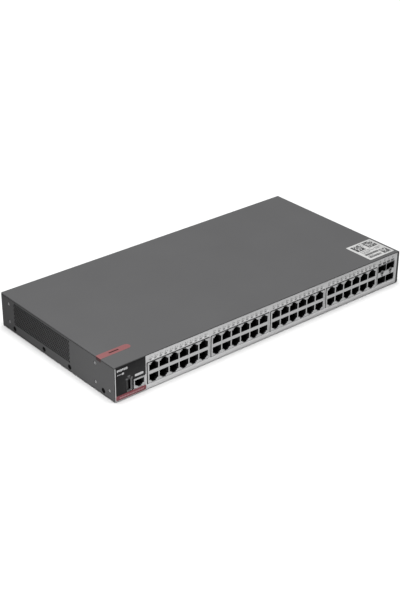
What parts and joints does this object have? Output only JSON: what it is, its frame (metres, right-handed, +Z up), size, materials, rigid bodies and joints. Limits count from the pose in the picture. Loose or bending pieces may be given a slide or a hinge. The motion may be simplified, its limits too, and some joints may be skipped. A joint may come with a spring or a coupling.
{
  "type": "rackmount network switch",
  "caption": "One-unit-high rackmount Ethernet switch: flat grey metal box with rows of jacks across a silver front, a black end panel, side vents and fans.",
  "frame": {"origin": "on the underside, at the middle of the body's width and depth", "axes": "+X from left to right along the front, +Y from the front to the back, +Z up"},
  "size_m": [0.4399, 0.22, 0.0436],
  "materials": {
    "grey_paint": "fine-textured grey powder coat",
    "tray_steel": "zinc-coated sheet steel",
    "silver_plate": "satin silver front plate",
    "black_overlay": "semi-matt black printed film",
    "red_print": "red printed film",
    "white_label": "white printed label",
    "shield_steel": "tin-plated shielding",
    "black_plastic": "moulded black plastic",
    "circuit_board": "green solder mask",
    "supply_board": "bare paper-phenolic board",
    "heatsink_alloy": "extruded alloy",
    "ferrite": "dark sintered ferrite",
    "winding_tape": "yellow winding tape",
    "capacitor_sleeve": "shrink-sleeved can",
    "contact_brass": "plated brass",
    "fan_plastic": "black moulded fan plastic",
    "black_screw": "black oxide steel",
    "zinc_steel": "bright zinc plating"
  },
  "bodies": {
    "chassis": {"top_cover": "grey_paint", "base_tray": "grey_paint", "front_plate": "silver_plate", "front_overlay": "black_overlay", "accent_strip": "red_print", "corner_label": "red_print", "info_sticker": "white_label", "console_jack_shield": "shield_steel", "console_jack_housing": "black_plastic", "usb_port_shell": "shield_steel", "usb_port_tongue": "black_plastic", "module_cage": "shield_steel", "module_connector_left": "black_plastic", "module_connector_right": "black_plastic", "main_board": "circuit_board", "switch_heatsink": "heatsink_alloy", "phy_heatsink_left": "heatsink_alloy", "phy_heatsink_right": "heatsink_alloy", "psu_board": "supply_board", "psu_transformer_core": "ferrite", "psu_transformer_winding": "winding_tape", "psu_capacitor": "capacitor_sleeve", "psu_heatsink": "heatsink_alloy", "mains_inlet": "black_plastic", "mains_blade_line": "contact_brass", "mains_blade_neutral": "contact_brass", "mains_blade_earth": "contact_brass", "ground_screw": "contact_brass", "fan_bracket": "tray_steel", "jack_shield_1": "shield_steel", "jack_housing_1": "black_plastic", "jack_shield_2": "shield_steel", "jack_housing_2": "black_plastic", "jack_shield_3": "shield_steel", "jack_housing_3": "black_plastic", "jack_shield_4": "shield_steel", "jack_housing_4": "black_plastic", "fan_frame_1": "fan_plastic", "fan_frame_2": "fan_plastic", "cover_screw_left_1": "black_screw", "cover_screw_left_2": "black_screw", "cover_screw_left_3": "black_screw", "cover_screw_left_4": "black_screw", "rack_insert_left_1": "zinc_steel", "rack_insert_left_2": "zinc_steel", "rack_insert_left_3": "zinc_steel", "rack_insert_left_4": "zinc_steel", "rack_insert_left_5": "zinc_steel", "cover_screw_right_1": "black_screw", "cover_screw_right_2": "black_screw", "cover_screw_right_3": "black_screw", "cover_screw_right_4": "black_screw", "rack_insert_right_1": "zinc_steel", "rack_insert_right_2": "zinc_steel", "rack_insert_right_3": "zinc_steel", "rack_insert_right_4": "zinc_steel", "rack_insert_right_5": "zinc_steel"},
    "rotor_1": {"fan_rotor_1": "fan_plastic"},
    "rotor_2": {"fan_rotor_2": "fan_plastic"}
  },
  "joints": [
    {"name": "fan_1_spin", "type": "hinge", "parent": "chassis", "child": "rotor_1", "pos_m": [0.207, -0.001, 0.0213], "axis": [1, 0, 0], "continuous": true},
    {"name": "fan_2_spin", "type": "hinge", "parent": "chassis", "child": "rotor_2", "pos_m": [0.207, 0.055, 0.0213], "axis": [1, 0, 0], "continuous": true}
  ]
}
